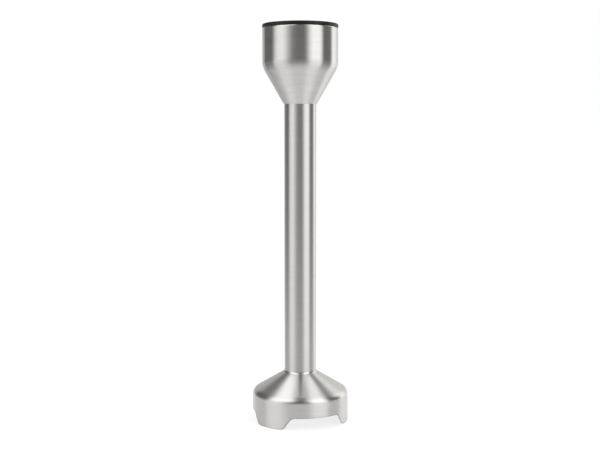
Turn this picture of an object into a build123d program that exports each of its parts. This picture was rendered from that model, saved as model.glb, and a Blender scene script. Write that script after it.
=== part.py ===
"""Detachable blending shaft of an immersion blender.

Millimetres. The shaft stands on the tips of its three guard legs: z = 0 is the plane of the leg tips,
+Z runs up the drive axis to the open motor socket. One guard leg points along +Y.
"""
from build123d import *
from math import asin, cos, degrees, radians, tan
import os

# ---------------------------------------------------------------- driving dimensions
OVERALL_H = 316.1          # leg tips to the top of the socket rim
GAP = 0.05                 # radial gap of a slip fit between two pieces that do not turn

# outer tube
TUBE_R = 12.7
TUBE_WALL = 1.2
TUBE_BOTTOM_Z = 33.5
TUBE_TOP_Z = 262.0

# funnel-shaped coupling head
HEAD_R = 29.9
HEAD_WALL = 1.2
HEAD_TOP_Z = 313.35
HEAD_LIP_Z = 253.6         # where the funnel ends on the tube
HEAD_LIP_LAND = 0.43       # width of the lip's end face beyond the tube
HEAD_HALF_ANGLE = 30.0     # funnel wall from the axis
HEAD_BEND_R = 17.0
HEAD_EDGE_R = 1.0

# bell guard
BELL_R = 38.35
BELL_WALL = 1.6
BELL_SLOPE = 30.7          # shoulder cone from the horizontal
BELL_CORNER_Z = 24.35      # where the cone line meets the band line
BELL_KNUCKLE_R = 6.4
BELL_NECK_R = 2.0          # hollow fillet where the shoulder turns up onto the tube
BELL_NECK_LAND = 0.2       # width of the neck's end face round the tube
LEG_COUNT = 3
NOTCH_TOP_Z = 9.6
NOTCH_TOP_HALF = 19.2      # half width of a notch at its top and at the leg tips
NOTCH_TIP_HALF = 24.9
NOTCH_ROOT_R = 4.8
LEG_TIP_R = 3.5

# motor socket insert
RIM_R = 30.08
RIM_EDGE_R = 1.0
RIM_FOOT_R = 0.5
SOCKET_R = 25.0            # guide land that the motor handle's nose slides into
SOCKET_LEAD_IN = 0.8
SOCKET_LAND_Z = 301.0
LUG_CHAMBER_Z = 294.0
LUG_R = 26.9               # bottom of the lug slots and of the lug chamber
LUG_SLOT_W = 9.0
LUG_COUNT = 3
LUG_STOP_R = 25.3
LUG_STOP_ANGLE = 48.0      # from a lug slot's middle to the stop rib that ends the lug's turn
LUG_STOP_W = 2.4
SOCKET_LOWER_R = 24.6
SOCKET_FLOOR_Z = 285.0
SOCKET_FLOOR_T = 3.0
SOCKET_FOOT_R = 2.0
SOCKET_HOLE_R = 12.5
SOCKET_SCREW_RADIUS = 18.5
SCREW_R = 2.0
SCREW_HEAD_R = 3.5
SCREW_HEAD_H = 2.4
SCREW_HEAD_ROUND = 0.8
SCREW_RECESS_R = 1.5       # hexagon recess, over its corners
SCREW_RECESS_FLOOR = 1.0   # above the seat
SCREW_LENGTH = 10.0
SCREW_HOLE_SPARE = 0.5     # tapped hole below the screw's end

# drive shaft and its upper ball bearing (8 x 22 x 7)
SHAFT_R = 4.0
SHAFT_TOP_Z = 288.5
RUN = 0.04                 # radial clearance of the running fits
BEARING_R = 11.0
BEARING_H = 7.0
BEARING_Z = 262.1
PITCH_R = 7.5
BALL_R = 3.969 / 2
BALL_COUNT = 7
RACE_GROOVE_R = 2.03
RACE_SHOULDER_OUT = 9.15
RACE_SHOULDER_IN = 5.85
CHAMBER_R = 12.5           # room for the drive coupling's hub

# drive coupling
COUPLING_R = 11.0
COUPLING_HUB_R = 8.0
COUPLING_Z = 272.5
COUPLING_CUP_Z = 287.0
COUPLING_TOP_Z = 299.5
PILOT_R = 8.5
PILOT_Z = 296.0
SPLINE_ROOT_R = 8.0
SPLINE_CREST_R = 5.5
SPLINE_COUNT = 6
SPLINE_SLOT_W = 3.2
PIN_R = 1.5
PIN_Z = 279.0

# lower bearing, seal and blade stack
LOWER_FLANGE_R = 15.5
LOWER_FLANGE_Z = 31.0
LOWER_SPIGOT_TOP_Z = 50.0
LOWER_BOSS_R = 11.0
LOWER_BOSS_Z = 22.0
BUSH_R = 6.0
BUSH_TOP_Z = 48.0
SEAL_R = 8.0
SEAL_Z = 24.5
SEAL_H = 5.0
BLADE_SEAT_R = 3.0
BLADE_FLAT_HALF = 2.5      # half the distance across the two flats of the blade seat
BLADE_SEAT_TOP_Z = 18.6
BLADE_THREAD_R = 2.5
BLADE_Z = 12.5
BLADE_T = 1.5
BLADE_TIP_R = 24.0
BLADE_BEND_R = 8.6         # distance from the axis to the wings' bend lines
WING_UP = 24.0
WING_DOWN = 16.0

# steady bush in the middle of the tube
STEADY_Z = 140.0
STEADY_H = 18.0

O_RING_R = 0.95            # section radius of the O-rings in the tube


# ---------------------------------------------------------------- helpers
def turned(points, rounds=None):
    """Solid of revolution about Z from (radius, height) points; rounds maps a point's index to a radius."""
    face = make_face(Polyline(*points, close=True))
    for index, radius in (rounds or {}).items():
        corner = face.vertices().sort_by_distance((*points[index], 0))[0]
        face = fillet(corner, radius)
    return revolve(Plane.XZ * face, Axis.Z)


def disc(radius, low, high):
    """Cylinder on the axis between two heights."""
    return Pos(0, 0, (low + high) / 2) * Cylinder(radius, high - low)


def pipe(outer, inner, low, high):
    """Plain ring on the axis between two heights."""
    return disc(outer, low, high) - disc(inner, low - 1, high + 1)


def o_ring(middle_r, height, section_r):
    """Ring of round section on the axis."""
    return Pos(0, 0, height) * Torus(middle_r, section_r)


def around(shape, count, first=0.0):
    """Copies of a shape spaced evenly about the axis."""
    return [Rot(0, 0, first + 360 / count * turn) * shape for turn in range(count)]


def group(solids):
    """One node of several separate solids."""
    return Compound(children=list(solids))


def split_ring(outer, inner, low, high, gap_half):
    """Flat retaining ring with a gap at +X."""
    gap = Pos(outer, 0, (low + high) / 2) * Box(2 * outer, 2 * gap_half, high - low + 2)
    return pipe(outer, inner, low, high) - gap


# ---------------------------------------------------------------- outer shells
def outer_tube():
    return pipe(TUBE_R, TUBE_R - TUBE_WALL, TUBE_BOTTOM_Z, TUBE_TOP_Z)


def head_shell():
    """Drawn funnel: throat on the tube, cone, bend and straight cup with a rounded mouth."""
    spread = tan(radians(HEAD_HALF_ANGLE))
    lip_r = TUBE_R + HEAD_LIP_LAND
    bend_z = HEAD_LIP_Z + (HEAD_R - lip_r) / spread
    cone_wall = HEAD_WALL / cos(radians(HEAD_HALF_ANGLE))
    inner_bend_z = bend_z + (cone_wall - HEAD_WALL) / spread
    throat_top_z = HEAD_LIP_Z + (TUBE_R - lip_r + cone_wall) / spread
    points = [
        (TUBE_R, HEAD_LIP_Z),
        (lip_r, HEAD_LIP_Z),
        (HEAD_R, bend_z),
        (HEAD_R, HEAD_TOP_Z),
        (HEAD_R - HEAD_WALL, HEAD_TOP_Z),
        (HEAD_R - HEAD_WALL, inner_bend_z),
        (TUBE_R, throat_top_z),
    ]
    return turned(points, {2: HEAD_BEND_R, 3: HEAD_EDGE_R, 5: HEAD_BEND_R - HEAD_WALL})


def guard_notch():
    """Cutter for the notch at -Y: rounded upper corners, and legs rounded off towards their tips."""
    below = 2.0
    foot_half = NOTCH_TIP_HALF + LEG_TIP_R
    points = [
        (-foot_half, -below),
        (foot_half, -below),
        (foot_half, 0),
        (NOTCH_TIP_HALF, 0),
        (NOTCH_TOP_HALF, NOTCH_TOP_Z),
        (-NOTCH_TOP_HALF, NOTCH_TOP_Z),
        (-NOTCH_TIP_HALF, 0),
        (-foot_half, 0),
    ]
    face = make_face(Polyline(*points, close=True))
    by_height = face.vertices().sort_by(Axis.Y)
    face = fillet(by_height[-2:], NOTCH_ROOT_R)
    tips = [v for v in face.vertices() if abs(v.Y) < 0.01 and abs(v.X) < NOTCH_TIP_HALF + 0.01]
    face = fillet(tips, LEG_TIP_R)
    return extrude(Plane.XZ * face, BELL_R + 5)


def bell_guard():
    """Drawn bell: collar in and fillet out where it joins the tube, shoulder cone, knuckle and band."""
    rise = tan(radians(BELL_SLOPE))
    inner_r = BELL_R - BELL_WALL
    collar_r = TUBE_R + BELL_WALL
    neck_r = TUBE_R + BELL_NECK_LAND
    drop = BELL_WALL / cos(radians(BELL_SLOPE))
    neck_root_z = BELL_CORNER_Z + (BELL_R - neck_r) * rise
    fillet_height = BELL_NECK_R * tan(radians((90 - BELL_SLOPE) / 2))
    neck_top_z = neck_root_z + fillet_height + 0.05
    inner_corner_z = BELL_CORNER_Z + BELL_WALL * rise - drop
    collar_root_z = BELL_CORNER_Z + (BELL_R - collar_r) * rise - drop
    points = [
        (TUBE_R, TUBE_BOTTOM_Z),
        (TUBE_R, neck_top_z),
        (neck_r, neck_top_z),
        (neck_r, neck_root_z),
        (BELL_R, BELL_CORNER_Z),
        (BELL_R, 0),
        (inner_r, 0),
        (inner_r, inner_corner_z),
        (collar_r, collar_root_z),
        (collar_r, TUBE_BOTTOM_Z),
    ]
    bell = turned(points, {3: BELL_NECK_R, 4: BELL_KNUCKLE_R, 7: BELL_KNUCKLE_R - BELL_WALL})
    for notch in around(guard_notch(), LEG_COUNT):
        bell -= notch
    return bell


# ---------------------------------------------------------------- socket and upper bearing carrier
SOCKET_O_RING_R = 0.85
SOCKET_O_RING_Z = 291.2
SOCKET_O_RING_GROOVE_H = 2.2


def lug_chamber():
    """Cutter for the ring-shaped room that the lugs turn in, which leaves three stop ribs standing."""
    middle_z = (SOCKET_LAND_Z + LUG_CHAMBER_Z) / 2
    height = SOCKET_LAND_Z - LUG_CHAMBER_Z
    chamber = pipe(LUG_R, SOCKET_LOWER_R - 2, LUG_CHAMBER_Z, SOCKET_LAND_Z)
    stop = Pos(LUG_R, 0, middle_z) * Box(2 * (LUG_R - LUG_STOP_R), LUG_STOP_W, height)
    for rib in around(stop, LUG_COUNT, first=90 + LUG_STOP_ANGLE):
        chamber -= rib
    return chamber


def coupling_socket():
    """Moulded insert: rim flange, guide land, three lug slots, lug chamber with stops, and floor."""
    body_r = HEAD_R - HEAD_WALL - GAP
    floor_top = SOCKET_FLOOR_Z + SOCKET_FLOOR_T
    points = [
        (SOCKET_HOLE_R, SOCKET_FLOOR_Z),
        (body_r, SOCKET_FLOOR_Z),
        (body_r, HEAD_TOP_Z),
        (RIM_R, HEAD_TOP_Z),
        (RIM_R, OVERALL_H),
        (SOCKET_R + SOCKET_LEAD_IN, OVERALL_H),
        (SOCKET_R, OVERALL_H - SOCKET_LEAD_IN),
        (SOCKET_R, SOCKET_LAND_Z),
        (SOCKET_LOWER_R, SOCKET_LAND_Z),
        (SOCKET_LOWER_R, floor_top),
        (SOCKET_HOLE_R, floor_top),
    ]
    socket = turned(points, {1: SOCKET_FOOT_R, 3: RIM_FOOT_R, 4: RIM_EDGE_R}) - lug_chamber()
    slot_h = OVERALL_H - SOCKET_LAND_Z + 2
    slot = Pos(LUG_R / 2, 0, SOCKET_LAND_Z - 1 + slot_h / 2) * Box(LUG_R, LUG_SLOT_W, slot_h)
    slot &= disc(LUG_R, SOCKET_LAND_Z - 1, OVERALL_H + 1)
    for cutter in around(slot, LUG_COUNT, first=90):
        socket -= cutter
    hole = Pos(SOCKET_SCREW_RADIUS, 0, 0) * disc(SCREW_R + 0.2, SOCKET_FLOOR_Z - 1, floor_top + 1)
    for cutter in around(hole, 3, first=30):
        socket -= cutter
    groove_low = SOCKET_O_RING_Z - SOCKET_O_RING_GROOVE_H / 2
    groove_high = SOCKET_O_RING_Z + SOCKET_O_RING_GROOVE_H / 2
    groove_floor_r = HEAD_R - HEAD_WALL - 2 * SOCKET_O_RING_R - GAP
    return socket - pipe(body_r + 1, groove_floor_r, groove_low, groove_high)


def socket_o_ring():
    return o_ring(HEAD_R - HEAD_WALL - SOCKET_O_RING_R, SOCKET_O_RING_Z, SOCKET_O_RING_R)


def socket_screws():
    """Three pan-head screws with a hexagon recess."""
    seat = SOCKET_FLOOR_Z + SOCKET_FLOOR_T
    head = disc(SCREW_HEAD_R, seat, seat + SCREW_HEAD_H)
    head = fillet(head.edges().sort_by(Axis.Z)[-1], SCREW_HEAD_ROUND)
    recess = extrude(RegularPolygon(SCREW_RECESS_R, 6), SCREW_HEAD_H)
    recess = Pos(0, 0, seat + SCREW_RECESS_FLOOR) * recess
    shank = disc(SCREW_R, seat - SCREW_LENGTH, seat + 0.1)
    screw = head + shank - recess
    return group(around(Pos(SOCKET_SCREW_RADIUS, 0, 0) * screw, 3, first=30))


POCKET_FLOOR_Z = 261.2
HOUSING_SPIGOT_L = 12.0
HOUSING_HUB_R = 14.5
HOUSING_HUB_TOP_Z = 273.0
HOUSING_FLANGE_R = 24.0
HOUSING_FLANGE_Z = 281.0
HOUSING_BORE_R = 6.6
HOUSING_BOSS_R = 4.0
HOUSING_BOSS_Z = 276.5
CHAMBER_STEP = 2.4         # pocket wall above the bearing, up to the wider chamber
RING_GROOVE_R = 11.7
BEARING_TOP_Z = BEARING_Z + BEARING_H
CIRCLIP_T = 1.0


def bearing_housing():
    """Cast carrier in the funnel: spigot in the tube, bearing pocket, chamber and screw bosses."""
    spigot_z = TUBE_TOP_Z - HOUSING_SPIGOT_L
    chamber_z = BEARING_TOP_Z + CHAMBER_STEP
    points = [
        (HOUSING_BORE_R, spigot_z),
        (TUBE_R - TUBE_WALL - GAP, spigot_z),
        (TUBE_R - TUBE_WALL - GAP, TUBE_TOP_Z),
        (HOUSING_HUB_R, TUBE_TOP_Z),
        (HOUSING_HUB_R, HOUSING_HUB_TOP_Z),
        (HOUSING_FLANGE_R, HOUSING_FLANGE_Z),
        (HOUSING_FLANGE_R, SOCKET_FLOOR_Z),
        (CHAMBER_R, SOCKET_FLOOR_Z),
        (CHAMBER_R, chamber_z),
        (BEARING_R, chamber_z),
        (BEARING_R, POCKET_FLOOR_Z),
        (HOUSING_BORE_R, POCKET_FLOOR_Z),
    ]
    housing = turned(points, {4: 3.0, 5: 2.0})
    ring_groove = pipe(RING_GROOVE_R, BEARING_R - 1, BEARING_TOP_Z, BEARING_TOP_Z + CIRCLIP_T + 0.1)
    housing -= ring_groove
    boss = Pos(SOCKET_SCREW_RADIUS, 0, 0) * disc(HOUSING_BOSS_R, HOUSING_BOSS_Z, SOCKET_FLOOR_Z)
    for solid in around(boss, 3, first=30):
        housing += solid
    tapped_low = SOCKET_FLOOR_Z + SOCKET_FLOOR_T - SCREW_LENGTH - SCREW_HOLE_SPARE
    tapped = Pos(SOCKET_SCREW_RADIUS, 0, 0) * disc(SCREW_R, tapped_low, SOCKET_FLOOR_Z + 1)
    for cutter in around(tapped, 3, first=30):
        housing -= cutter
    return housing


def preload_spring():
    """Disc spring between the pocket floor and the outer race."""
    inner_r = 7.6
    outer_r = BEARING_R - 0.1
    rise = 0.5
    thickness = 0.35
    low = POCKET_FLOOR_Z
    points = [
        (inner_r, low),
        (outer_r, low + rise),
        (outer_r, low + rise + thickness),
        (inner_r, low + thickness),
    ]
    return turned(points)


# ---------------------------------------------------------------- upper ball bearing
BEARING_MID_Z = BEARING_Z + BEARING_H / 2


def raceway():
    return o_ring(PITCH_R, BEARING_MID_Z, RACE_GROOVE_R)


def upper_bearing_outer_race():
    return pipe(BEARING_R, RACE_SHOULDER_OUT, BEARING_Z, BEARING_TOP_Z) - raceway()


def upper_bearing_inner_race():
    return pipe(RACE_SHOULDER_IN, SHAFT_R, BEARING_Z, BEARING_TOP_Z) - raceway()


def bearing_balls():
    ball = Pos(PITCH_R, 0, BEARING_MID_Z) * Sphere(BALL_R)
    return group(around(ball, BALL_COUNT))


def bearing_cage():
    """Crown cage: a ring under the balls with a spherical pocket for each."""
    outer_r = PITCH_R + 0.6
    inner_r = PITCH_R - 0.6
    base_z = BEARING_Z + 0.95
    prong_top_z = BEARING_MID_Z + 0.8
    cage = pipe(outer_r, inner_r, base_z, prong_top_z)
    pocket = Pos(PITCH_R, 0, BEARING_MID_Z) * Sphere(BALL_R + 0.05)
    for cutter in around(pocket, BALL_COUNT):
        cage -= cutter
    return cage


def upper_bearing_seals():
    inset = 0.25
    thickness = 0.4
    inner_r = RACE_SHOULDER_IN + 0.2
    low = BEARING_Z + inset
    high = BEARING_TOP_Z - inset - thickness
    return group(pipe(RACE_SHOULDER_OUT, inner_r, z, z + thickness) for z in (low, high))


def bearing_circlip():
    """Internal retaining ring with two lugs that have plier holes."""
    low = BEARING_TOP_Z + 0.05
    high = low + CIRCLIP_T
    inner_r = 9.9
    gap_half = 2.2
    lug_angle = 18.0
    lug_middle_r = 9.6
    lug_r = 1.3
    plier_hole_r = 0.6
    ring = split_ring(RING_GROOVE_R - 0.05, inner_r, low, high, gap_half)
    for side in (-1, 1):
        lug_place = Rot(0, 0, side * lug_angle) * Pos(lug_middle_r, 0, 0)
        ring += lug_place * disc(lug_r, low, high)
        ring -= lug_place * disc(plier_hole_r, low - 1, high + 1)
    return ring


# ---------------------------------------------------------------- steady bush and lower bearing
O_RING_GROOVE_HALF_H = 1.2
O_RING_GROOVE_FLOOR_R = TUBE_R - TUBE_WALL - 2 * O_RING_R - GAP


def steady_ring_heights():
    from_end = 3.4
    return (STEADY_Z + from_end, STEADY_Z + STEADY_H - from_end)


def tube_ring_groove(height):
    """Cutter for an O-ring groove in a piece that sits in the tube."""
    low = height - O_RING_GROOVE_HALF_H
    high = height + O_RING_GROOVE_HALF_H
    return pipe(TUBE_R, O_RING_GROOVE_FLOOR_R, low, high)


def steady_bush():
    """Nylon bush with a waist and two O-ring grooves."""
    outer_r = TUBE_R - TUBE_WALL - 2 * GAP
    waist_r = 8.5
    waist_half_h = 2.5
    bush = pipe(outer_r, SHAFT_R + 2 * RUN, STEADY_Z, STEADY_Z + STEADY_H)
    middle = STEADY_Z + STEADY_H / 2
    bush -= pipe(TUBE_R, waist_r, middle - waist_half_h, middle + waist_half_h)
    for z in steady_ring_heights():
        bush -= tube_ring_groove(z)
    return bush


def steady_bush_o_rings():
    middle_r = TUBE_R - TUBE_WALL - O_RING_R
    return group(o_ring(middle_r, z, O_RING_R) for z in steady_ring_heights())


LOWER_O_RING_Z = 45.0
LOWER_BOSS_TOP_Z = 27.0
LOWER_BORE_R = SHAFT_R + 0.8
BUSH_BOTTOM_Z = 31.0
SEAL_CLIP_T = 0.9
SEAL_CLIP_R = 8.4


def lower_housing():
    """Turned plug: spigot in the tube, flange under the bell's collar, boss with the seal pocket."""
    spigot_r = TUBE_R - TUBE_WALL - GAP
    points = [
        (LOWER_BORE_R, LOWER_BOSS_Z),
        (LOWER_BOSS_R, LOWER_BOSS_Z),
        (LOWER_BOSS_R, LOWER_BOSS_TOP_Z),
        (LOWER_FLANGE_R, LOWER_FLANGE_Z),
        (LOWER_FLANGE_R, TUBE_BOTTOM_Z),
        (spigot_r, TUBE_BOTTOM_Z),
        (spigot_r, LOWER_SPIGOT_TOP_Z),
        (LOWER_BORE_R, LOWER_SPIGOT_TOP_Z),
    ]
    housing = turned(points, {1: 0.8, 2: 1.5, 3: 1.0})
    housing -= disc(BUSH_R, BUSH_BOTTOM_Z, LOWER_SPIGOT_TOP_Z + 1)
    housing -= disc(SEAL_R, LOWER_BOSS_Z - 1, SEAL_Z + SEAL_H)
    clip_groove_top = SEAL_Z - 0.05
    housing -= disc(SEAL_CLIP_R + 0.05, clip_groove_top - 0.05 - SEAL_CLIP_T, clip_groove_top)
    return housing - tube_ring_groove(LOWER_O_RING_Z)


def lower_housing_o_ring():
    return o_ring(TUBE_R - TUBE_WALL - O_RING_R, LOWER_O_RING_Z, O_RING_R)


def lower_bush():
    return pipe(BUSH_R, SHAFT_R + RUN, BUSH_BOTTOM_Z, BUSH_TOP_Z)


GARTER_R = 0.5
GARTER_MIDDLE_R = 5.5
GARTER_Z = 26.0


def shaft_seal():
    """Rotary seal: outer sleeve, web and a lip that runs on the shaft under a spring groove."""
    top = SEAL_Z + SEAL_H
    web_z = top - 1.4
    sleeve_r = SEAL_R - 1.3
    lip_r = SHAFT_R + RUN
    lip_back_r = GARTER_MIDDLE_R + 0.6
    waist_r = SHAFT_R + 0.6
    points = [
        (lip_r, SEAL_Z + 0.6),
        (GARTER_MIDDLE_R, SEAL_Z + 0.3),
        (lip_back_r, SEAL_Z + 0.8),
        (GARTER_MIDDLE_R, web_z),
        (sleeve_r, web_z),
        (sleeve_r, SEAL_Z),
        (SEAL_R, SEAL_Z),
        (SEAL_R, top),
        (waist_r, top),
        (waist_r, SEAL_Z + 2.2),
        (lip_r, SEAL_Z + 1.4),
    ]
    seal = turned(points)
    return seal - o_ring(GARTER_MIDDLE_R, GARTER_Z, GARTER_R + 0.03)


def seal_garter_spring():
    return o_ring(GARTER_MIDDLE_R, GARTER_Z, GARTER_R)


def seal_circlip():
    inner_r = 6.6
    gap_half = 2.0
    low = SEAL_Z - 0.05 - SEAL_CLIP_T
    high = SEAL_Z - 0.15
    return split_ring(SEAL_CLIP_R, inner_r, low, high, gap_half)


# ---------------------------------------------------------------- rotor
SHAFT_CLIP_T = 0.8
SHAFT_CLIP_GROOVE_R = 3.8
SHAFT_CHAMFER = 0.6
THREAD_CHAMFER = 0.5
THREAD_END_Z = 8.0
BLADE_NUT_Z = 6.6
BLADE_WASHER_Z = 11.5


def shaft_clip_heights():
    """Lower faces of the two retaining rings, one each side of the inner race."""
    return (BEARING_Z - 0.05 - SHAFT_CLIP_T, BEARING_TOP_Z + 0.05)


def double_d(radius, low, high):
    """Round bar with two flats, across Y."""
    flats = Pos(0, 0, (low + high) / 2) * Box(2 * radius + 2, 2 * BLADE_FLAT_HALF, high - low)
    return disc(radius, low, high) & flats


def drive_shaft():
    """Ground shaft with ring grooves, a cross hole, a double-D blade seat and a threaded end."""
    points = [
        (0, BLADE_SEAT_TOP_Z),
        (SHAFT_R, BLADE_SEAT_TOP_Z),
        (SHAFT_R, SHAFT_TOP_Z),
        (0, SHAFT_TOP_Z),
    ]
    shaft = turned(points)
    shaft = chamfer(shaft.edges().sort_by(Axis.Z)[-1], SHAFT_CHAMFER)
    for low in shaft_clip_heights():
        shaft -= pipe(SHAFT_R + 1, SHAFT_CLIP_GROOVE_R, low, low + SHAFT_CLIP_T)
    shaft += double_d(BLADE_SEAT_R, BLADE_Z - 0.5, BLADE_SEAT_TOP_Z + 0.1)
    thread = disc(BLADE_THREAD_R, THREAD_END_Z, BLADE_Z)
    shaft += chamfer(thread.edges().sort_by(Axis.Z)[0], THREAD_CHAMFER)
    cross_hole = Pos(0, 0, PIN_Z) * Rot(0, 90, 0) * Cylinder(PIN_R, 3 * SHAFT_R)
    return shaft - cross_hole


def shaft_circlips():
    outer_r = 5.5
    gap_half = 1.6
    return group(
        split_ring(outer_r, SHAFT_CLIP_GROOVE_R, low, low + SHAFT_CLIP_T, gap_half)
        for low in shaft_clip_heights()
    )


def drive_coupling():
    """Driven half of the dog coupling: hub on the shaft, cup with six splines and a plain pilot bore."""
    spline_z = SHAFT_TOP_Z + 1.0
    flare_half_h = 1.5
    points = [
        (0, COUPLING_Z),
        (COUPLING_HUB_R, COUPLING_Z),
        (COUPLING_HUB_R, COUPLING_CUP_Z - flare_half_h),
        (COUPLING_R, COUPLING_CUP_Z + flare_half_h),
        (COUPLING_R, COUPLING_TOP_Z),
        (0, COUPLING_TOP_Z),
    ]
    coupling = turned(points, {1: 0.8, 4: 0.6})
    coupling -= disc(SHAFT_R, COUPLING_Z - 1, SHAFT_TOP_Z)
    coupling -= disc(SPLINE_CREST_R, spline_z, COUPLING_TOP_Z + 1)
    coupling -= disc(PILOT_R, PILOT_Z, COUPLING_TOP_Z + 1)
    slot_h = PILOT_Z - spline_z + 1
    slot = Pos(SPLINE_ROOT_R / 2, 0, spline_z + slot_h / 2) * Box(SPLINE_ROOT_R, SPLINE_SLOT_W, slot_h)
    slot &= disc(SPLINE_ROOT_R, spline_z, spline_z + slot_h)
    for cutter in around(slot, SPLINE_COUNT):
        coupling -= cutter
    cross_hole = Pos(0, 0, PIN_Z) * Rot(0, 90, 0) * Cylinder(PIN_R, 3 * COUPLING_HUB_R)
    return coupling - cross_hole


def coupling_pin():
    """Solid cross pin, flush with the hub."""
    below_hub = 0.3
    pin = Cylinder(PIN_R, 2 * (COUPLING_HUB_R - below_hub))
    pin = chamfer(pin.edges().filter_by(GeomType.CIRCLE), below_hub)
    return Pos(0, 0, PIN_Z) * Rot(0, 90, 0) * pin


def seal_slinger():
    """Rubber V-ring gripping the shaft below the boss."""
    low = BLADE_SEAT_TOP_Z
    body_top = low + 2.0
    lip_top = LOWER_BOSS_Z - 0.4
    body_r = 6.6
    skirt_r = 7.4
    root_r = 5.8
    lip_r = 8.2
    points = [
        (SHAFT_R, low),
        (body_r, low),
        (skirt_r, low + 0.8),
        (root_r + 0.4, low + 1.5),
        (lip_r, lip_top - 0.5),
        (lip_r - 0.2, lip_top),
        (root_r, body_top),
        (SHAFT_R, body_top),
    ]
    return turned(points)


BLADE_CLAMP_R = 6.0        # spacer above the blade, washer below it


def blade_spacer():
    spacer = disc(BLADE_CLAMP_R, BLADE_Z + BLADE_T, BLADE_SEAT_TOP_Z)
    spacer = chamfer(spacer.edges().filter_by(GeomType.CIRCLE), 0.3)
    return spacer - double_d(BLADE_SEAT_R, BLADE_Z, BLADE_SEAT_TOP_Z + 1)


WING_ROOT_HALF = 5.4       # half widths of a wing
WING_TIP_HALF = 3.6
WING_CORNER = 1.0
GRIND_ANGLE = 28.0         # of the ground edge to the blade's face


def blade_wing(angle):
    """One wing along +X, with a ground leading edge, bent about the line at BLADE_BEND_R."""
    length = (BLADE_TIP_R - BLADE_BEND_R) / cos(radians(angle))
    outline = Polyline(
        (0, -WING_ROOT_HALF),
        (length - WING_CORNER, -WING_TIP_HALF),
        (length, -WING_TIP_HALF + 1.6 * WING_CORNER),
        (length, WING_TIP_HALF - 0.6 * WING_CORNER),
        (length - WING_CORNER, WING_TIP_HALF),
        (0, WING_ROOT_HALF),
        close=True,
    )
    wing = Pos(0, 0, -BLADE_T / 2) * extrude(make_face(outline), BLADE_T)
    edge_angle = degrees(asin((WING_ROOT_HALF - WING_TIP_HALF) / length))
    stone_w = 12.0
    stone_t = 3.0
    grind = Rot(GRIND_ANGLE, 0, 0) * Box(4 * length, stone_w, stone_t)
    grind = Pos(0, -WING_ROOT_HALF - 4.6, BLADE_T) * grind
    wing -= Rot(0, 0, edge_angle) * grind
    bend = Rot(90, 0, 0) * Cylinder(BLADE_T / 2, 2 * WING_ROOT_HALF)
    wing = Rot(0, -angle, 0) * wing + bend
    return Pos(BLADE_BEND_R, 0, BLADE_Z + BLADE_T / 2) * wing


def blade():
    """Four-wing blade: two wings up, two down, on a round hub with a double-D hole."""
    hub = disc(BLADE_BEND_R, BLADE_Z, BLADE_Z + BLADE_T)
    arm = Box(2 * BLADE_BEND_R, 2 * WING_ROOT_HALF, BLADE_T)
    arm = Pos(0, 0, BLADE_Z + BLADE_T / 2) * arm
    shape = hub + arm + Rot(0, 0, 90) * arm
    for turn, angle in enumerate((WING_UP, -WING_DOWN, WING_UP, -WING_DOWN)):
        shape += Rot(0, 0, 90 * turn) * blade_wing(angle)
    return shape - double_d(BLADE_SEAT_R, BLADE_Z - 1, BLADE_Z + BLADE_T + 1)


def blade_washer():
    washer = pipe(BLADE_CLAMP_R, BLADE_SEAT_R + 0.1, BLADE_WASHER_Z, BLADE_Z)
    return chamfer(washer.edges().filter_by(GeomType.CIRCLE).sort_by(Axis.Z)[:2], 0.15)


def blade_nut():
    """Domed hexagon nut with a flange, thread closed at the bottom."""
    corner_r = 4.62
    flange_r = 5.2
    flange_t = 0.9
    dome_r = 3.7
    dome_top = 8.6
    hexagon = extrude(RegularPolygon(corner_r, 6), BLADE_WASHER_Z - dome_top)
    hexagon = Pos(0, 0, dome_top) * hexagon
    flange = disc(flange_r, BLADE_WASHER_Z - flange_t, BLADE_WASHER_Z)
    dome = disc(dome_r, BLADE_NUT_Z, dome_top)
    dome = fillet(dome.edges().sort_by(Axis.Z)[0], 1.6)
    thread = disc(BLADE_THREAD_R, THREAD_END_Z - 0.2, BLADE_WASHER_Z + 1)
    return hexagon + flange + dome - thread


# ---------------------------------------------------------------- write every piece
PIECES = [
    outer_tube,
    head_shell,
    bell_guard,
    coupling_socket,
    socket_o_ring,
    socket_screws,
    bearing_housing,
    preload_spring,
    upper_bearing_outer_race,
    upper_bearing_inner_race,
    bearing_balls,
    bearing_cage,
    upper_bearing_seals,
    bearing_circlip,
    steady_bush,
    steady_bush_o_rings,
    lower_housing,
    lower_housing_o_ring,
    lower_bush,
    shaft_seal,
    seal_garter_spring,
    seal_circlip,
    drive_shaft,
    shaft_circlips,
    drive_coupling,
    coupling_pin,
    seal_slinger,
    blade_spacer,
    blade,
    blade_washer,
    blade_nut,
]

os.makedirs("parts", exist_ok=True)
for make in PIECES:
    export_step(make(), f"parts/{make.__name__}.step")
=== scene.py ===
import math

import bpy
from mathutils import Matrix, Vector


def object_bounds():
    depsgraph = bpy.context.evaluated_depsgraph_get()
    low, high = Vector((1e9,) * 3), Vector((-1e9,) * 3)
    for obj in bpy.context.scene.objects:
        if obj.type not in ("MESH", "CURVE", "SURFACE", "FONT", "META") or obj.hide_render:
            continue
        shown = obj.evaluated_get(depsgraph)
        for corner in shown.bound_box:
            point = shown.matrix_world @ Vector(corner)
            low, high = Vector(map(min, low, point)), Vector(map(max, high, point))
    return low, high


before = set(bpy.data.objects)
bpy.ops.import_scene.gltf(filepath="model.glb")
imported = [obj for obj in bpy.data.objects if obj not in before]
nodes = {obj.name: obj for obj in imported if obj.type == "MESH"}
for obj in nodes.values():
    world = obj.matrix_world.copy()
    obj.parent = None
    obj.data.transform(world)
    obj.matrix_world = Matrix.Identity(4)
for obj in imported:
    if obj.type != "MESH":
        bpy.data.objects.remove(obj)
cad_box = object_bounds()

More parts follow.
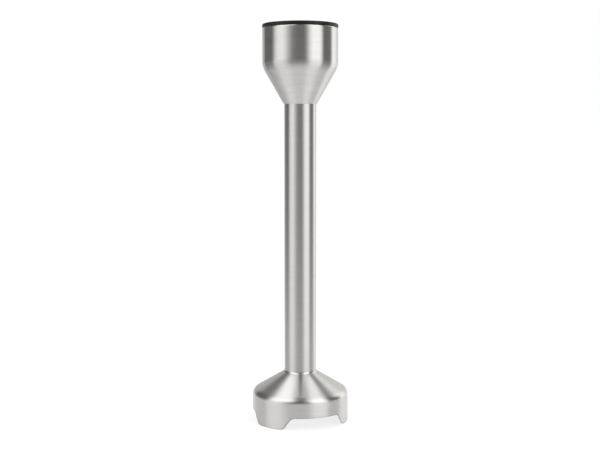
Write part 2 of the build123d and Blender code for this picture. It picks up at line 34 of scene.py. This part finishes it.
# ---------------------------------------------------------------- camera (metres)
CAMERA_TURN = math.radians(-19.8)      # camera position about the drive axis, from -Y
CAMERA_DISTANCE = 0.8428
CAMERA_HEIGHT = 0.2314
CAMERA_PITCH = math.radians(5.014)     # looking down
CAMERA_SIDE = -0.0002
CAMERA_NEAR = 0.01
CAMERA_FAR = 20.0
SENSOR_WIDTH = 36.0                    # millimetres
LENS = 63.44                           # millimetres


# ---------------------------------------------------------------- node helpers
class Graph:
    """Short calls for building a node tree."""

    def __init__(self, tree):
        self.tree = tree
        tree.nodes.clear()

    def add(self, kind, **settings):
        node = self.tree.nodes.new(kind)
        for name, value in settings.items():
            setattr(node, name, value)
        return node

    def link(self, source, target):
        self.tree.links.new(source, target)

    def feed(self, socket, value):
        """Links a socket or sets a number or colour."""
        if isinstance(value, bpy.types.NodeSocket):
            self.link(value, socket)
        else:
            socket.default_value = value

    def place(self):
        """Position on the object, in metres."""
        return self.add("ShaderNodeTexCoord").outputs["Object"]

    def split(self, vector):
        """The x, y and z of a vector."""
        node = self.add("ShaderNodeSeparateXYZ")
        self.link(vector, node.inputs[0])
        return tuple(node.outputs)

    def join(self, x, y, z):
        """A vector from its x, y and z."""
        node = self.add("ShaderNodeCombineXYZ")
        for socket, value in zip(node.inputs, (x, y, z)):
            self.feed(socket, value)
        return node.outputs[0]

    def vector_math(self, operation, first, second=None):
        node = self.add("ShaderNodeVectorMath", operation=operation)
        self.link(first, node.inputs[0])
        if second is not None:
            self.feed(node.inputs[1], second)
        return node

    def math(self, operation, *values):
        node = self.add("ShaderNodeMath", operation=operation)
        for socket, value in zip(node.inputs, values):
            self.feed(socket, value)
        return node.outputs[0]

    def times(self, first, *others):
        """Product of its arguments."""
        for value in others:
            first = self.math("MULTIPLY", first, value)
        return first

    def plus(self, base, mask, amount):
        """base with amount times mask added."""
        return self.math("MULTIPLY_ADD", mask, amount, base)

    def flip(self, value):
        """One minus the value."""
        return self.math("SUBTRACT", 1.0, value)

    def slide(self, blend, start, end):
        """Number that goes from start to end as blend goes from 0 to 1."""
        return self.math("MULTIPLY_ADD", blend, end - start, start)

    def step(self, value, low, high):
        """Smooth step from 0 at low to 1 at high; low may be above high."""
        node = self.add("ShaderNodeMapRange", interpolation_type="SMOOTHSTEP")
        rising = (low, high, 0.0, 1.0) if low < high else (high, low, 1.0, 0.0)
        self.feed(node.inputs["Value"], value)
        for name, number in zip(("From Min", "From Max", "To Min", "To Max"), rising):
            node.inputs[name].default_value = number
        return node.outputs[0]

    def band(self, value, dark, lit, blend):
        """Smooth step from 0 at dark to 1 at lit; each is a pair, for blend 0 and blend 1."""
        begin = self.slide(blend, *dark)
        width = self.slide(blend, lit[0] - dark[0], lit[1] - dark[1])
        share = self.math("DIVIDE", self.math("SUBTRACT", value, begin), width)
        return self.step(share, 0.0, 1.0)

    def noise(self, vector, scale, detail=3.0, roughness=0.5):
        node = self.add("ShaderNodeTexNoise")
        self.feed(node.inputs["Vector"], vector)
        node.inputs["Scale"].default_value = scale
        node.inputs["Detail"].default_value = detail
        node.inputs["Roughness"].default_value = roughness
        return node.outputs["Fac"]

    def mix(self, factor, first, second):
        """Colour between two colours."""
        node = self.add("ShaderNodeMix", data_type="RGBA")
        self.feed(node.inputs["Factor"], factor)
        self.feed(node.inputs["A"], first)
        self.feed(node.inputs["B"], second)
        return node.outputs["Result"]

    def mix_shader(self, factor, first, second):
        node = self.add("ShaderNodeMixShader")
        self.feed(node.inputs[0], factor)
        self.link(first.outputs[0], node.inputs[1])
        self.link(second.outputs[0], node.inputs[2])
        return node

    def finish(self, kind, shader):
        """Links the shader to a new output node."""
        output = self.add(kind)
        self.link(shader.outputs[0], output.inputs["Surface"])


def new_graph(name):
    """A new material and its empty graph."""
    material = bpy.data.materials.new(name)
    material.use_nodes = True
    return material, Graph(material.node_tree)


# ---------------------------------------------------------------- studio
# Directions are unit vectors turned to the photo's camera: right, back (away from it) and up.
# A range such as (0.1, 0.6) is where a mask starts and where it is full.
HORIZON = (0.02, -0.05)                # up
STEEP_DOWN = (-0.4, -0.8)              # up
OVERHEAD = (0.45, 0.80)                # up
STRAIGHT_BEHIND = (0.66, 0.84)         # back

DARK = 0.15                            # strength of the gaps between panels and backdrop
DARK_BELOW = 0.15                      # added under the horizon
DARK_STEEP = 0.31                      # added near straight down
DARK_ABOVE = 0.10                      # added high above

LEFT_BACKDROP = 0.42
RIGHT_BACKDROP = 0.72
RIGHT_BACKDROP_SIDE = 0.60             # added at the far right
RIGHT_BACKDROP_BEHIND = 0.72           # share that is left straight behind

LEFT_PANEL = 0.97
LEFT_PANEL_MIDDLE = 0.60               # added from a little above the horizon
LEFT_PANEL_TOP = -0.28                 # added near the zenith
RIGHT_PANEL = 1.24
RIGHT_PANEL_MIDDLE = 0.42
RIGHT_PANEL_TOP = -0.55
PANEL_MIDDLE_RANGE = (0.02, 0.35)      # up
PANEL_TOP_RANGE = (0.58, 0.92)         # up

# An edge is where a panel is dark and where it is fully lit, each low down and high up. Inner
# edges are offsets from the camera's direction, outer edges and the backdrop's edge are spreads.
LEFT_INNER = ((-0.19, -0.04), (-0.56, -0.22))
LEFT_OUTER = ((1.18, 1.00), (0.82, 0.625))
LEFT_TRIM = (0.48, 0.92)               # spread at which the left panel is cut away overhead
RIGHT_INNER = ((0.10, 0.04), (0.38, 0.30))
RIGHT_OUTER = ((0.82, 0.714), (0.60, 0.488))
BACKDROP_EDGE = ((1.28, 0.77), (1.70, 1.28))
INNER_HEIGHT = (0.12, 0.55)            # up, from low down to high up at the inner edges
LEFT_OUTER_HEIGHT = (0.0, 0.25)
RIGHT_OUTER_HEIGHT = (0.1, 0.6)        # at the right panel's outer edge and the backdrop's

# Below the horizon light falls with a slope, not under a least share, then again when steep.
PANEL_FALL = (1.5, 0.70, 0.55)
BACKDROP_FALL = (1.9, 0.72, 0.60)

VIEW_LEVEL = 0.98                      # level part of the camera's line of sight to the object
LEAST_LEVEL = 1e-4                     # keep the square root and the divisions off zero
LEAST_TOWARD = 1e-3
STUDIO_TINT = (1.0, 0.995, 0.985, 1.0)


def camera_direction(graph):
    """Right, back and up parts of the direction that a ray looks in."""
    turn = graph.add("ShaderNodeVectorRotate", rotation_type="Z_AXIS")
    graph.link(graph.add("ShaderNodeTexCoord").outputs["Generated"], turn.inputs["Vector"])
    turn.inputs["Angle"].default_value = -CAMERA_TURN
    return graph.split(turn.outputs[0])


def fall(graph, sink, steep, slope, least, at_steep):
    """Share of its light that a panel keeps below the horizon."""
    share = graph.math("MAXIMUM", graph.plus(1.0, sink, slope), least)
    return graph.times(share, graph.slide(steep, 1.0, at_steep))


def dark_level(graph, up, steep, overhead):
    """Strength of the unlit studio."""
    light = graph.plus(DARK, graph.step(up, *HORIZON), DARK_BELOW)
    light = graph.plus(light, steep, DARK_STEEP)
    return graph.plus(light, overhead, DARK_ABOVE)


def panel_power(graph, up, base, middle, top):
    power = graph.plus(base, graph.step(up, *PANEL_MIDDLE_RANGE), middle)
    return graph.plus(power, graph.step(up, *PANEL_TOP_RANGE), top)


def metal_light(graph):
    """Strength of what metal sees: two panels, dark gaps and a lit backdrop."""
    right, back, up = camera_direction(graph)
    steep = graph.step(up, *STEEP_DOWN)
    overhead = graph.step(up, *OVERHEAD)

    # below the horizon every band goes straight down
    sink = graph.math("MINIMUM", up, 0.0)
    level_part = graph.flip(graph.times(sink, sink))
    shrink = graph.math("SQRT", graph.math("MAXIMUM", level_part, LEAST_LEVEL))
    right = graph.math("DIVIDE", right, shrink)
    back = graph.math("DIVIDE", back, shrink)

    # bands are laid out by spread, the tangent of half the angle round from the camera
    toward = graph.math("MAXIMUM", graph.math("SUBTRACT", VIEW_LEVEL, back), LEAST_TOWARD)
    offset = graph.math("DIVIDE", right, toward)
    spread = graph.math("ABSOLUTE", offset)
    on_left = graph.math("LESS_THAN", right, 0.0)

    # the backdrop stands behind the object, with a dark gap on each side before the panels
    behind = graph.step(back, *STRAIGHT_BEHIND)
    outer_height = graph.step(up, *RIGHT_OUTER_HEIGHT)
    fade = fall(graph, sink, steep, *BACKDROP_FALL)
    left_back = graph.times(behind, on_left, fade)
    right_back = graph.math("MAXIMUM", graph.band(spread, *BACKDROP_EDGE, outer_height), behind)
    right_level = graph.times(graph.plus(RIGHT_BACKDROP, right, RIGHT_BACKDROP_SIDE),
                              graph.slide(behind, 1.0, RIGHT_BACKDROP_BEHIND))
    right_back = graph.times(right_back, graph.flip(on_left), right_level)

    # the gap between the panels is wide in front of the camera and a line overhead
    inner_height = graph.step(up, *INNER_HEIGHT)
    trim = graph.times(overhead, graph.step(spread, *LEFT_TRIM))
    left_panel = graph.times(
        graph.band(offset, *LEFT_INNER, inner_height),
        graph.band(spread, *LEFT_OUTER, graph.step(up, *LEFT_OUTER_HEIGHT)),
        graph.flip(trim),
        panel_power(graph, up, LEFT_PANEL, LEFT_PANEL_MIDDLE, LEFT_PANEL_TOP))
    right_panel = graph.times(
        graph.band(offset, *RIGHT_INNER, inner_height),
        graph.band(spread, *RIGHT_OUTER, outer_height),
        panel_power(graph, up, RIGHT_PANEL, RIGHT_PANEL_MIDDLE, RIGHT_PANEL_TOP))
    panels = graph.times(graph.math("ADD", left_panel, right_panel),
                         fall(graph, sink, steep, *PANEL_FALL), graph.flip(behind))

    light = dark_level(graph, up, steep, overhead)
    light = graph.plus(light, left_back, LEFT_BACKDROP)
    light = graph.plus(light, right_back, fade)
    return graph.math("ADD", light, panels)


def studio_light():
    """World: plain white to the eye and to matt surfaces, the studio to metal."""
    world = bpy.data.worlds.new("studio")
    bpy.context.scene.world = world
    world.use_nodes = True
    graph = Graph(world.node_tree)
    studio = graph.add("ShaderNodeBackground")
    studio.inputs["Color"].default_value = STUDIO_TINT
    graph.link(metal_light(graph), studio.inputs["Strength"])
    white = graph.add("ShaderNodeBackground")
    white.inputs["Color"].default_value = (1.0, 1.0, 1.0, 1.0)
    white.inputs["Strength"].default_value = 1.0
    glossy = graph.add("ShaderNodeLightPath").outputs["Is Glossy Ray"]
    graph.finish("ShaderNodeOutputWorld", graph.mix_shader(glossy, white, studio))


LAMP_AIM = Vector((0.0, 0.0, 0.15))
LAMP_SIZE = 0.9
LAMP_POWER = 6.0                       # watts


def soft_lamp(name, turn, height, distance):
    """Area lamp aimed at the object's middle; it lights matt surfaces only."""
    data = bpy.data.lights.new(name, "AREA")
    data.shape = "SQUARE"
    data.size = LAMP_SIZE
    data.energy = LAMP_POWER
    lamp = bpy.data.objects.new(name, data)
    bpy.context.scene.collection.objects.link(lamp)
    angle = CAMERA_TURN + turn
    spot = Vector((math.sin(angle) * distance, -math.cos(angle) * distance, height))
    lamp.location = spot
    lamp.rotation_euler = (LAMP_AIM - spot).to_track_quat("-Z", "Y").to_euler()
    lamp.visible_glossy = False
    lamp.visible_camera = False


# ---------------------------------------------------------------- floor
FLOOR_SIZE = 8.0
FLOOR_TONE = 0.92
FLOOR_GLOW = 0.75                      # share of the floor that glows, so that shadows stay faint
FLOOR_GLOW_STRENGTH = 1.05
FLOOR_FADE = 1.3                       # radius beyond which metal sees only the studio
FLOOR_IN_METAL = 0.62                  # how much of the floor metal sees near the object


def floor_material():
    material, graph = new_graph("pale_floor")
    matt = graph.add("ShaderNodeBsdfDiffuse")
    matt.inputs["Color"].default_value = (FLOOR_TONE, FLOOR_TONE, FLOOR_TONE, 1.0)
    glow = graph.add("ShaderNodeEmission")
    glow.inputs["Strength"].default_value = FLOOR_GLOW_STRENGTH
    pale = graph.mix_shader(FLOOR_GLOW, matt, glow)
    # metal sees the floor near the object, and the studio's bands beyond it
    distance = graph.vector_math("LENGTH", graph.place()).outputs["Value"]
    near = graph.times(graph.step(distance, FLOOR_FADE, 0.0), FLOOR_IN_METAL)
    glossy = graph.add("ShaderNodeLightPath").outputs["Is Glossy Ray"]
    away = graph.times(glossy, graph.flip(near))
    clear = graph.add("ShaderNodeBsdfTransparent")
    graph.finish("ShaderNodeOutputMaterial", graph.mix_shader(away, pale, clear))
    return material


def floor():
    """Plain pale floor, much larger than the view."""
    mesh = bpy.data.meshes.new("floor")
    half = FLOOR_SIZE / 2
    level = cad_box[0][2]
    corners = [(x * half, y * half, level) for x, y in ((-1, -1), (1, -1), (1, 1), (-1, 1))]
    mesh.from_pydata(corners, [], [(0, 1, 2, 3)])
    mesh.materials.append(floor_material())
    plane = bpy.data.objects.new("floor", mesh)
    bpy.context.scene.collection.objects.link(plane)


def camera():
    """The photo's camera, turned about the drive axis."""
    data = bpy.data.cameras.new("camera")
    data.sensor_width = SENSOR_WIDTH
    data.lens = LENS
    data.clip_start = CAMERA_NEAR
    data.clip_end = CAMERA_FAR
    view = bpy.data.objects.new("camera", data)
    bpy.context.scene.collection.objects.link(view)
    around = Matrix.Rotation(CAMERA_TURN, 4, "Z")
    place = Matrix.Translation((CAMERA_SIDE, -CAMERA_DISTANCE, CAMERA_HEIGHT))
    tilt = Matrix.Rotation(math.radians(90) - CAMERA_PITCH, 4, "X")
    view.matrix_world = around @ place @ tilt
    bpy.context.scene.camera = view


# ---------------------------------------------------------------- material helpers
def metal_shader(graph):
    shader = graph.add("ShaderNodeBsdfPrincipled")
    shader.inputs["Metallic"].default_value = 1.0
    return shader


def finish_material(graph, shader, height, depth, strength):
    """Adds a bump of a depth in metres, and the output."""
    bump = graph.add("ShaderNodeBump")
    bump.inputs["Strength"].default_value = strength
    bump.inputs["Distance"].default_value = depth
    graph.link(height, bump.inputs["Height"])
    graph.link(bump.outputs[0], shader.inputs["Normal"])
    graph.finish("ShaderNodeOutputMaterial", shader)


def tint(colour, factor=1.0):
    """The colour made lighter or darker, as four channels."""
    return (*[min(1.0, channel * factor) for channel in colour], 1.0)


EDGE_BEND_STARTS = 0.03                     # one minus the cosine between rounded and true normal
EDGE_BEND_FULL = 0.25
WEAR_REACH = 0.0005                    # metres in from an edge
GRAIN_RANGE = (0.25, 0.75)             # noise value at the darkest and at the lightest tone
CLOUD_RANGE = (0.3, 0.7)


def sharp_edge_mask(graph, reach=WEAR_REACH):
    """Mask that is 1 on sharp edges: the rounded normal differs there from the true one."""
    rounded = graph.add("ShaderNodeBevel", samples=4)
    rounded.inputs["Radius"].default_value = reach
    true = graph.add("ShaderNodeNewGeometry").outputs["Normal"]
    agreement = graph.vector_math("DOT_PRODUCT", rounded.outputs[0], true).outputs["Value"]
    return graph.step(graph.flip(agreement), EDGE_BEND_STARTS, EDGE_BEND_FULL)


def stretched(graph, sizes, detail=3.0):
    """Noise whose grains have these sizes in metres along the object's axes."""
    scaled = graph.vector_math("MULTIPLY", graph.place(), [1.0 / size for size in sizes])
    return graph.noise(scaled.outputs[0], 1.0, detail=detail, roughness=0.6)


# ---------------------------------------------------------------- steel with lines round the axis
# Each layer of lines: pitch and spread against the fine lines, and its share of the tone.
LINE_LAYERS = ((1.0, 1.0, 0.40), (2.6, 0.7, 0.35), (9.0, 0.8, 0.25))
LINE_SPREAD = 1.6                      # noise units round the axis; more gives shorter lines
LINE_BUMP = 0.6
AXIS_R = 1e-5                          # keeps the division off the axis
CLOUD_SCALE = 45.0
ROUGH_EVEN = 0.84                      # share of the roughness that is the same everywhere
ROUGH_CLOUD = 0.14                     # share that clouds add
ROUGH_LINES = 0.18                     # share that the lines add
# share of the edge tone on sharp edges: brighter wear on most steel, painted shade on the bell's
# legs
LINE_EDGE_WEAR_AND_SHADE = 0.7
EDGE_FADE_H = 0.002                    # height over which the bell's painted edge shade fades in
QUARTER_TURN = 0.25                    # turns the highlight across the lines


def lathe_lines(graph, lean, pitch, spread):
    """Noise lines that run round the Z axis; lean adds the radius to the height, for cones."""
    x, y, z = graph.split(graph.place())
    squares = graph.math("ADD", graph.times(x, x), graph.times(y, y))
    radius = graph.math("MAXIMUM", graph.math("SQRT", squares), AXIS_R)
    along = graph.plus(z, radius, lean)
    round_x = graph.times(graph.math("DIVIDE", x, radius), spread)
    round_y = graph.times(graph.math("DIVIDE", y, radius), spread)
    lines = graph.join(round_x, round_y, graph.times(along, 1.0 / pitch))
    return graph.noise(lines, 1.0, roughness=0.6)


def lathe_steel(name, colour, roughness, anisotropy, lean=0.0, pitch=0.0004, streak=0.045,
                depth=2.0e-6, wear_and_shade_reach=0.0003, edge_wear_and_shade_tone=1.18, edges_under=None):
    """Steel brushed, ground or turned round the Z axis. An edge tone above one brightens worn
    edges; below one it darkens the edges as painted shade.
    """
    material, graph = new_graph(name)
    layers = [lathe_lines(graph, lean, pitch * wider, LINE_SPREAD * shorter)
              for wider, shorter, _ in LINE_LAYERS]
    tone = 0.0
    for layer, (_, _, share) in zip(layers, LINE_LAYERS):
        tone = graph.plus(tone, layer, share)
    shader = metal_shader(graph)
    shader.inputs["Anisotropic"].default_value = anisotropy
    shader.inputs["Anisotropic Rotation"].default_value = QUARTER_TURN
    tangent = graph.add("ShaderNodeTangent", direction_type="RADIAL", axis="Z")
    graph.link(tangent.outputs[0], shader.inputs["Tangent"])
    base = graph.mix(graph.step(tone, *GRAIN_RANGE), tint(colour, 1.0 - streak),
                     tint(colour, 1.0 + streak))
    edges = graph.times(sharp_edge_mask(graph, wear_and_shade_reach), LINE_EDGE_WEAR_AND_SHADE)
    if edges_under is not None:
        height = graph.split(graph.place())[2]
        edges = graph.times(edges, graph.step(height, edges_under, edges_under - EDGE_FADE_H))
    # sharp edges take the edge tone: above one it is brighter wear, below one it is painted shade
    graph.link(graph.mix(edges, base, tint(colour, edge_wear_and_shade_tone)), shader.inputs["Base Color"])
    cloud = graph.noise(graph.place(), CLOUD_SCALE)
    uneven = graph.plus(graph.plus(ROUGH_EVEN, cloud, ROUGH_CLOUD), tone, ROUGH_LINES)
    graph.link(graph.times(uneven, roughness), shader.inputs["Roughness"])
    finish_material(graph, shader, layers[0], depth, LINE_BUMP)
    return material


# ---------------------------------------------------------------- rolled sheet
SHEET_GRAIN = (0.012, 0.00025, 0.00025)        # metres along x, y and z
SHEET_SCRATCH = (0.004, 0.00016, 0.004)
SCRATCH_RANGE = (0.66, 0.74)           # noise value at which a scratch starts and is full
SCRATCH_SHOW = 0.35
SHEET_EDGE_SHOW = 0.6
SHEET_BUMP_DEPTH = 3.0e-6


def sheet_steel(name, colour, roughness):
    """Rolled sheet with its grain along X, scratched here and there, and bright ground edges."""
    material, graph = new_graph(name)
    grain = stretched(graph, SHEET_GRAIN)
    scratch = graph.step(stretched(graph, SHEET_SCRATCH, detail=1.0), *SCRATCH_RANGE)
    cloud = graph.noise(graph.place(), 120.0)
    edges = sharp_edge_mask(graph)
    shader = metal_shader(graph)
    shader.inputs["Anisotropic"].default_value = 0.3
    base = graph.mix(graph.step(grain, *GRAIN_RANGE), tint(colour, 0.88), tint(colour, 1.05))
    base = graph.mix(graph.times(scratch, SCRATCH_SHOW), base, tint(colour, 1.15))
    base = graph.mix(graph.times(edges, SHEET_EDGE_SHOW), base, tint(colour, 1.2))
    graph.link(base, shader.inputs["Base Color"])
    rough = graph.plus(roughness - 0.05, cloud, 0.10)
    graph.link(graph.plus(rough, edges, -0.08), shader.inputs["Roughness"])
    finish_material(graph, shader, grain, SHEET_BUMP_DEPTH, 0.5)
    return material


# ---------------------------------------------------------------- grainy metals
CLOUDS_PER_GRAIN = 0.08
CELLS_PER_GRAIN = 0.35
PORE_RANGE = (0.20, 0.08)              # distance from a cell's middle, pore's rim to full depth
PORE_TONE = 0.35
RUBBED_TONE = 1.25
RUBBED_SHOW = 0.55


def grainy_metal(name, dark, light, roughness, grain, depth, pores):
    """Cast, sintered or phosphated metal: grain, clouds, dark pores and rubbed edges."""
    material, graph = new_graph(name)
    place = graph.place()
    grit = graph.noise(place, 1.0 / grain, detail=4.0, roughness=0.65)
    cloud = graph.noise(place, CLOUDS_PER_GRAIN / grain)
    cells = graph.add("ShaderNodeTexVoronoi")
    graph.link(place, cells.inputs["Vector"])
    cells.inputs["Scale"].default_value = CELLS_PER_GRAIN / grain
    pits = graph.step(cells.outputs["Distance"], *PORE_RANGE)
    edges = graph.times(sharp_edge_mask(graph), RUBBED_SHOW)
    shader = metal_shader(graph)
    tone = graph.plus(graph.times(grit, 0.4), cloud, 0.6)
    base = graph.mix(graph.step(tone, *CLOUD_RANGE), tint(dark), tint(light))
    base = graph.mix(graph.times(pits, pores), base, tint(dark, PORE_TONE))
    graph.link(graph.mix(edges, base, tint(light, RUBBED_TONE)), shader.inputs["Base Color"])
    rough = graph.plus(roughness - 0.08, grit, 0.16)
    graph.link(graph.plus(rough, edges, -0.15), shader.inputs["Roughness"])
    finish_material(graph, shader, graph.plus(grit, pits, -pores), depth, 0.7)
    return material


# ---------------------------------------------------------------- plastic and rubber
MOULD_CLOUD_SCALE = 60.0
MOULD_BUMP_DEPTH = 4.0e-6
MOULD_WORN_SHOW = 0.5
SCATTER_RADII = (0.002, 0.0018, 0.0014)        # metres for red, green and blue


def moulded(name, colour, roughness, grain=0.0005, speckle=0.15, worn=1.8, scatter=0.0, gloss=0.5):
    """Moulded plastic or rubber: fine eroded grain, faint clouds and paler rubbed edges."""
    material, graph = new_graph(name)
    place = graph.place()
    grit = graph.noise(place, 1.0 / grain, roughness=0.6)
    cloud = graph.noise(place, MOULD_CLOUD_SCALE)
    shader = graph.add("ShaderNodeBsdfPrincipled")
    base = graph.mix(graph.step(cloud, *CLOUD_RANGE), tint(colour, 1.0 - speckle),
                     tint(colour, 1.0 + speckle))
    edges = graph.times(sharp_edge_mask(graph), MOULD_WORN_SHOW)
    graph.link(graph.mix(edges, base, tint(colour, worn)), shader.inputs["Base Color"])
    rough = graph.plus(roughness - 0.07, grit, 0.14)
    graph.link(graph.plus(rough, cloud, 0.06), shader.inputs["Roughness"])
    shader.inputs["Specular IOR Level"].default_value = gloss
    if scatter:
        shader.inputs["Subsurface Weight"].default_value = scatter
        shader.inputs["Subsurface Radius"].default_value = SCATTER_RADII
        shader.inputs["Subsurface Scale"].default_value = 1.0
    finish_material(graph, shader, grit, MOULD_BUMP_DEPTH, 0.5)
    return material


# ---------------------------------------------------------------- dressing the CAD nodes
STEEL = (0.62, 0.61, 0.60)
TUBE_STEEL = (0.595, 0.585, 0.577)
BRIGHT_STEEL = (0.68, 0.675, 0.67)
LEG_EDGE_Z = 0.014                     # the bell's edges carry painted shade only below this height


def dress(material, *names):
    """Gives CAD nodes a material."""
    for name in names:
        mesh = nodes[name].data
        mesh.materials.clear()
        mesh.materials.append(material)


def dress_brushed_outside():
    dress(lathe_steel("tube_steel", TUBE_STEEL, 0.29, 0.85), "outer_tube")
    dress(lathe_steel("head_steel", STEEL, 0.22, 0.88, lean=-0.6, streak=0.065), "head_shell")
    # the bell's dark leg edges are painted shade, standing in for the dark reflection of rounded
    # notch edges
    dress(lathe_steel("bell_steel", STEEL, 0.25, 0.65, lean=-1.0, wear_and_shade_reach=0.0024, edge_wear_and_shade_tone=0.40,
                      edges_under=LEG_EDGE_Z), "bell_guard")


def dress_turned_and_ground():
    dress(lathe_steel("bearing_steel", (0.72, 0.72, 0.73), 0.12, 0.3, pitch=0.00012, streak=0.02,
                      depth=4.0e-7, wear_and_shade_reach=0.0002),
          "upper_bearing_outer_race", "upper_bearing_inner_race", "bearing_balls")
    dress(lathe_steel("turned_steel", (0.60, 0.60, 0.60), 0.24, 0.55, lean=0.7, pitch=0.00022,
                      streak=0.09, depth=4.0e-6),
          "lower_housing", "blade_spacer")
    dress(lathe_steel("ground_steel", (0.66, 0.66, 0.67), 0.17, 0.6, pitch=0.00015, streak=0.04,
                      depth=8.0e-7),
          "drive_shaft", "coupling_pin")
    dress(lathe_steel("fastener_steel", BRIGHT_STEEL, 0.20, 0.35, lean=1.0, pitch=0.00025,
                      streak=0.05),
          "socket_screws", "blade_washer", "blade_nut")
    dress(sheet_steel("blade_steel", BRIGHT_STEEL, 0.24), "blade")


def dress_cast_and_sintered():
    dress(grainy_metal("cast_aluminium", (0.52, 0.53, 0.54), (0.68, 0.69, 0.70), 0.46, 0.0006,
                       2.5e-5, pores=0.4),
          "bearing_housing")
    dress(grainy_metal("spring_steel", (0.16, 0.16, 0.17), (0.34, 0.34, 0.36), 0.40, 0.00025,
                       4.0e-6, pores=0.2),
          "preload_spring", "bearing_circlip", "shaft_circlips", "seal_circlip",
          "seal_garter_spring")
    dress(grainy_metal("bearing_bronze", (0.46, 0.29, 0.13), (0.66, 0.45, 0.24), 0.34, 0.0002,
                       5.0e-6, pores=0.5),
          "lower_bush")
    dress(grainy_metal("sintered_steel", (0.13, 0.13, 0.14), (0.26, 0.26, 0.27), 0.45, 0.00018,
                       8.0e-6, pores=0.7),
          "drive_coupling")


def dress_plastic_and_rubber():
    dress(moulded("black_nylon", (0.010, 0.010, 0.0105), 0.36, gloss=0.25), "coupling_socket")
    dress(moulded("black_rubber", (0.022, 0.022, 0.022), 0.62, grain=0.0003),
          "socket_o_ring", "steady_bush_o_rings", "lower_housing_o_ring", "shaft_seal",
          "seal_slinger", "upper_bearing_seals")
    dress(moulded("cage_nylon", (0.42, 0.32, 0.16), 0.42, grain=0.0002, worn=1.2, scatter=0.15),
          "bearing_cage")
    dress(moulded("natural_nylon", (0.80, 0.77, 0.70), 0.40, grain=0.0004, speckle=0.05, worn=1.1,
                  scatter=0.3),
          "steady_bush")


camera()
studio_light()
floor()
soft_lamp("key_left", math.radians(-60), 0.9, 1.4)
soft_lamp("key_right", math.radians(50), 1.1, 1.5)
dress_brushed_outside()
dress_turned_and_ground()
dress_cast_and_sintered()
dress_plastic_and_rubber()
bpy.context.scene.view_settings.view_transform = "Standard"
